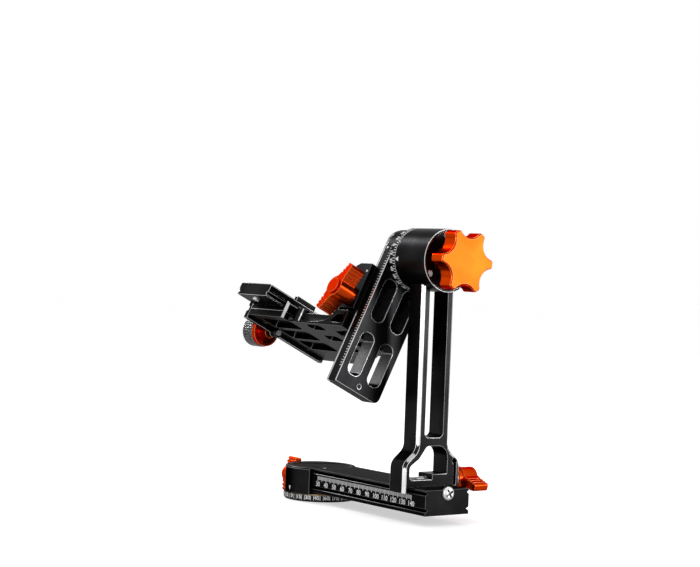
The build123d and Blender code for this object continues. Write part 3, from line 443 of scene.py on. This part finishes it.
def thicken(mark):
    """Gives a flat mark the print's thickness, with its faces outwards."""
    bpy.ops.object.mode_set(mode="EDIT")
    bpy.ops.mesh.select_all(action="SELECT")
    bpy.ops.mesh.extrude_region_move(TRANSFORM_OT_translate={"value": (0, 0, PRINT_THICKNESS / 2)})
    bpy.ops.mesh.select_all(action="SELECT")
    bpy.ops.mesh.normals_make_consistent(inside=False)
    bpy.ops.object.mode_set(mode="OBJECT")


def printed_number(text, height, place, bold):
    """A number of that height in the XY plane of place, its strokes made bolder by a length in metres."""
    bpy.ops.object.select_all(action="DESELECT")
    bpy.ops.object.text_add()
    number = bpy.context.object
    number.data.body = text
    number.data.size = height / CAPITAL_HEIGHT
    number.data.align_x = "CENTER"
    number.data.align_y = "CENTER"
    number.data.extrude = PRINT_THICKNESS / 2
    number.data.offset = bold
    number.data.resolution_u = 3
    bpy.ops.object.convert(target="MESH")
    number.matrix_world = place
    apply_place(number)
    return number


def printed_tick(width, height, place):
    """A thin printed line in the XY plane of place."""
    bpy.ops.object.select_all(action="DESELECT")
    bpy.ops.mesh.primitive_plane_add(size=1)
    tick = bpy.context.object
    tick.scale = (width, height, 1)
    apply_place(tick)
    thicken(tick)
    tick.matrix_world = place
    apply_place(tick)
    return tick


print("print is", PRINT_THICKNESS, "m thick")

# %% Helpers for many marks
def joined(name, marks, body):
    """Joins white marks into one piece that rides on a body."""
    bpy.ops.object.select_all(action="DESELECT")
    for mark in marks:
        mark.select_set(True)
    bpy.context.view_layer.objects.active = marks[0]
    if len(marks) > 1:
        bpy.ops.object.join()
    piece = bpy.context.object
    piece.name = name
    piece.data.materials.clear()
    piece.data.materials.append(COATS["printed_white"])
    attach(piece, body)
    print(f"{name}: {len(marks)} marks")
    return piece


def copied(mark, move):
    """A copy with its own mesh, moved by a matrix."""
    twin = bpy.data.objects.new(mark.name, mark.data.copy())
    bpy.context.scene.collection.objects.link(twin)
    twin.data.transform(move)
    return twin


print("marks are printed in", COATS["printed_white"].name)

# %% [markdown]
# ## The millimetre scale on the rail
# The scale runs from 30 to 140, one tick a millimetre, and it fixes the size of the whole head. One short
# and one tall tick are modelled and copied along, which is quicker than making each by itself.

# %% The millimetre scale on the rail's side
RAIL_SCALE = range(30, 141)
TICK_TOP = 19.7 * MM
SHORT_TICK = (0.36 * MM, 2.6 * MM)
TALL_TICK = (0.5 * MM, 3.6 * MM)
RAIL_NUMBER_Z = 13.8 * MM

short, tall = (
    printed_tick(width, height, axes_matrix(Vector((0, RAIL_SIDE_Y, TICK_TOP - height / 2)), ALONG_X, UP))
    for width, height in (SHORT_TICK, TALL_TICK))
marks = []
for value in RAIL_SCALE:
    move = Matrix.Translation((SCALE_ZERO_X + value * MM, 0, 0))
    marks.append(copied(tall if value % 5 == 0 else short, move))
for value in RAIL_SCALE[::10]:
    place = axes_matrix(Vector((SCALE_ZERO_X + value * MM, RAIL_SIDE_Y, RAIL_NUMBER_Z)), ALONG_X, UP)
    marks.append(printed_number(str(value), 3.4 * MM, place, bold=0.07 * MM))
for spare in (short, tall):
    bpy.data.objects.remove(spare)
joined("rail_scale", marks, "rail")

# %% [markdown]
# ## The degree scales
# The base and the tilt ring are divided into 5 degrees and numbered every 15, up to 180 both ways. Each
# mark is laid flat on the round wall at its own angle, which is near enough for marks this narrow.

# %% The degree scale round the base
NUMBERED_DEGREES = 15
TICK_DEGREES = 5
BASE_ZERO = -85
BASE_TICK_Z = 3.0 * MM
BASE_NUMBER_Z = 3.15 * MM


def dial_label(degree):
    """What a dial says at a degree: it counts up to 180 both ways."""
    return str(degree if degree <= 180 else 360 - degree)


marks = []
for degree in range(0, 360, TICK_DEGREES):
    angle = math.radians(degree + BASE_ZERO)
    out = Vector((math.cos(angle), math.sin(angle), 0))
    across = UP.cross(out)
    if degree % NUMBERED_DEGREES:
        place = axes_matrix(out * BASE_RADIUS + UP * BASE_TICK_Z, across, UP)
        marks.append(printed_tick(0.42 * MM, 3.3 * MM, place))
    else:
        place = axes_matrix(out * BASE_RADIUS + UP * BASE_NUMBER_Z, across, UP)
        marks.append(printed_number(dial_label(degree), 2.8 * MM, place, bold=0.11 * MM))
joined("base_scale", marks, "pan_base")

# %% The degree scale on the tilt ring
RING_TICK_END = RING_END_X - 0.6 * MM
RING_NUMBER_X = PLATE_FRONT_X + 1.8 * MM

marks = []
for degree in range(0, 360, TICK_DEGREES):
    angle = math.radians(degree) + math.pi
    out = ACROSS_ARM * math.cos(angle) + ALONG_ARM * math.sin(angle)
    across = -(out.cross(ALONG_X))
    numbered = degree % NUMBERED_DEGREES == 0
    height = (2.4 if numbered else 1.8) * MM
    middle = TILT_CENTRE + ALONG_X * (RING_TICK_END - height / 2) + out * HOUSING_RADIUS
    marks.append(printed_tick(0.5 * MM, height, axes_matrix(middle, across, -ALONG_X)))
    if numbered:
        middle = TILT_CENTRE + ALONG_X * RING_NUMBER_X + out * HOUSING_RADIUS
        place = axes_matrix(middle, across, -ALONG_X)
        marks.append(printed_number(dial_label(degree), 2.5 * MM, place, bold=0.1 * MM))
joined("tilt_scale_marks", marks, "swing_arm")

# %% [markdown]
# ## The fine scale along the swing plate
# The plate's side carries a row of fine ticks by its front edge, to set the height of the bracket. In the
# photograph they are only light specks, so they get no numbers.

# %% The ticks along the swing plate's edge
EDGE_TICK_X = PLATE_FRONT_X - 1.9 * MM

marks = []
for step in range(-92, 2, 2):
    width = (0.7 if step % 10 == 0 else 0.5) * MM
    place = axes_matrix(on_arm(EDGE_TICK_X, -PLATE_HALF, step * MM), ALONG_ARM, ALONG_X)
    marks.append(printed_tick(width, 1.7 * MM, place))
joined("plate_edge_scale", marks, "swing_arm")

# %% [markdown]
# ## Small triangles that point at the scales
# A reader sets each scale against a small white triangle. A circle with three corners is one, stretched
# to its width and height.

# %% Index marks
def triangle(name, origin, tip, out, width, height, body):
    """A small printed triangle whose point looks along tip, on a surface that looks along out."""
    bpy.ops.object.select_all(action="DESELECT")
    bpy.ops.mesh.primitive_circle_add(vertices=3, radius=1, fill_type="NGON")
    mark = bpy.context.object
    mark.scale = (width / math.sqrt(3), height / 1.5, 1)
    apply_place(mark)
    thicken(mark)
    mark.matrix_world = axes_matrix(origin, tip.cross(out), tip)
    apply_place(mark)
    return joined(name, [mark], body)


INDEX_ANGLE = math.radians(-94.4)
FRONT = Vector((0, -1, 0))
hub_out = Vector((math.cos(INDEX_ANGLE), math.sin(INDEX_ANGLE), 0))
triangle("hub_index", hub_out * HUB_RADIUS + UP * 9.0 * MM, -UP, hub_out, 2.1 * MM, 3.1 * MM, "rail")
triangle("housing_index", TILT_CENTRE + Vector((111.6 * MM, -HOUSING_RADIUS, 0)), -ALONG_X, FRONT,
         3.4 * MM, 3.4 * MM, "upright")
triangle("plate_index", on_arm(96.6 * MM, -PLATE_HALF, -1.4 * MM), ALONG_X, -ACROSS_ARM,
         2.2 * MM, 2.0 * MM, "swing_arm")
triangle("bracket_index", on_arm(91.2 * MM, -FOOT_HALF, -22.4 * MM), ALONG_X, -ACROSS_ARM,
         2.0 * MM, 2.0 * MM, "lens_bracket")

# %% [markdown]
# ## Floor and world
# The floor is plain and pale, and keeps the shadow. It glows a little for the camera only, so that it
# ends in the white of the background and puts no more light on the head. The world is white for the
# camera and for reflections, so that the metal shows the same background, and dimmer as a lamp.

# %% Floor
FLOOR_SIZE = 12.0
FLOOR_Z = -0.2 * MM
FLOOR_GLOW = 0.5

bpy.ops.object.select_all(action="DESELECT")
bpy.ops.mesh.primitive_plane_add(size=FLOOR_SIZE, location=(0, 0, FLOOR_Z))
floor = bpy.context.object
floor.name = "floor"
floor_material = bpy.data.materials.new("pale_floor")
floor_material.use_nodes = True
nodes, links = floor_material.node_tree.nodes, floor_material.node_tree.links
shader = nodes["Principled BSDF"]
shader.inputs["Base Color"].default_value = (0.86, 0.86, 0.86, 1)
shader.inputs["Roughness"].default_value = 0.9
shader.inputs["Specular IOR Level"].default_value = 0.1
glow = nodes.new("ShaderNodeEmission")
glow.inputs["Color"].default_value = (1, 1, 1, 1)
rays = nodes.new("ShaderNodeLightPath")
share = nodes.new("ShaderNodeMath")
share.operation = "MULTIPLY"
share.inputs[1].default_value = FLOOR_GLOW
links.new(rays.outputs["Is Camera Ray"], share.inputs[0])
links.new(share.outputs["Value"], glow.inputs["Strength"])
both = nodes.new("ShaderNodeAddShader")
links.new(shader.outputs["BSDF"], both.inputs[0])
links.new(glow.outputs["Emission"], both.inputs[1])
links.new(both.outputs["Shader"], nodes["Material Output"].inputs["Surface"])
floor.data.materials.append(floor_material)
print("floor:", FLOOR_SIZE, "m wide")

# %% World
WORLD_AS_LAMP = 0.55
WORLD_AS_BACKGROUND = 1.0

world = bpy.data.worlds.new("studio")
bpy.context.scene.world = world
world.use_nodes = True
nodes, links = world.node_tree.nodes, world.node_tree.links
background = nodes["Background"]
background.inputs["Color"].default_value = (1, 1, 1, 1)
rays = nodes.new("ShaderNodeLightPath")
seen = rays.outputs["Is Camera Ray"]
for kind in ("Is Glossy Ray", "Is Transmission Ray"):
    either = nodes.new("ShaderNodeMath")
    either.operation = "MAXIMUM"
    links.new(seen, either.inputs[0])
    links.new(rays.outputs[kind], either.inputs[1])
    seen = either.outputs["Value"]
strength = nodes.new("ShaderNodeMapRange")
strength.inputs["To Min"].default_value = WORLD_AS_LAMP
strength.inputs["To Max"].default_value = WORLD_AS_BACKGROUND
links.new(seen, strength.inputs["Value"])
links.new(strength.outputs["Result"], background.inputs["Strength"])
print("world:", WORLD_AS_LAMP, "as a lamp,", WORLD_AS_BACKGROUND, "as background")

# %% [markdown]
# ## Lamps
# Metal shows what it reflects, so each lamp is a soft box that some faces mirror: one behind on the
# right for everything that looks along the rail, one on the left for the round housing, and a narrow one
# in front for the long chamfers of the post. The fourth hangs above and softens the shadow.

# %% Lights
AIM = Vector((0.06, 0.0, 0.11))


def soft_light(name, direction, distance, size, radiance):
    """A soft box that stands in a direction from the head and shines at it with that brightness."""
    lamp = bpy.data.lights.new(name, "AREA")
    lamp.shape = "RECTANGLE"
    lamp.size, lamp.size_y = size
    lamp.energy = math.pi * radiance * size[0] * size[1]
    holder = bpy.data.objects.new(name, lamp)
    bpy.context.scene.collection.objects.link(holder)
    towards = Vector(direction).normalized()
    holder.location = AIM + towards * distance
    holder.rotation_euler = (-towards).to_track_quat("-Z", "Y").to_euler()
    print(f"{name}: {lamp.energy:.2f} W")


soft_light("box_behind_right", (0.807, 0.59, 0.06), 1.3, (0.34, 0.34), 10)
soft_light("box_left", (-0.807, -0.14, 0.585), 1.3, (0.28, 0.28), 30)
soft_light("strip_front", (0.59, -0.807, 0.06), 1.3, (0.1, 0.5), 24)
soft_light("top", (-0.1, 0.1, 1.0), 1.2, (0.8, 0.8), 1.6)

# %% [markdown]
# ## Camera
# The camera stands where the photograph was taken from: low, a little to the left of the rail's end, and
# rolled by about two degrees. Its three axes are worked out from the yaw, pitch and roll, which is
# exact, where aiming at a point would lose the roll.

# %% Camera
YAW = math.radians(36.20)
PITCH = math.radians(0.803)
ROLL = math.radians(2.136)
CAMERA_PLACE = (1.1138, -0.7947, 0.1795)
FOCAL_LENGTH = 94.6
SENSOR_WIDTH = 36

look = Vector((-math.cos(YAW) * math.cos(PITCH), math.sin(YAW) * math.cos(PITCH), -math.sin(PITCH)))
level_right = look.cross(UP).normalized()
level_up = level_right.cross(look)
right = math.cos(ROLL) * level_right + math.sin(ROLL) * level_up
up = -math.sin(ROLL) * level_right + math.cos(ROLL) * level_up
camera = bpy.data.objects.new("camera", bpy.data.cameras.new("camera"))
bpy.context.scene.collection.objects.link(camera)
camera.data.lens = FOCAL_LENGTH
camera.data.sensor_width = SENSOR_WIDTH
camera.matrix_world = Matrix.Translation(CAMERA_PLACE) @ Matrix((right, up, -look)).transposed().to_4x4()
bpy.context.scene.camera = camera
bpy.context.scene.view_settings.view_transform = "Standard"
print("camera at", CAMERA_PLACE)
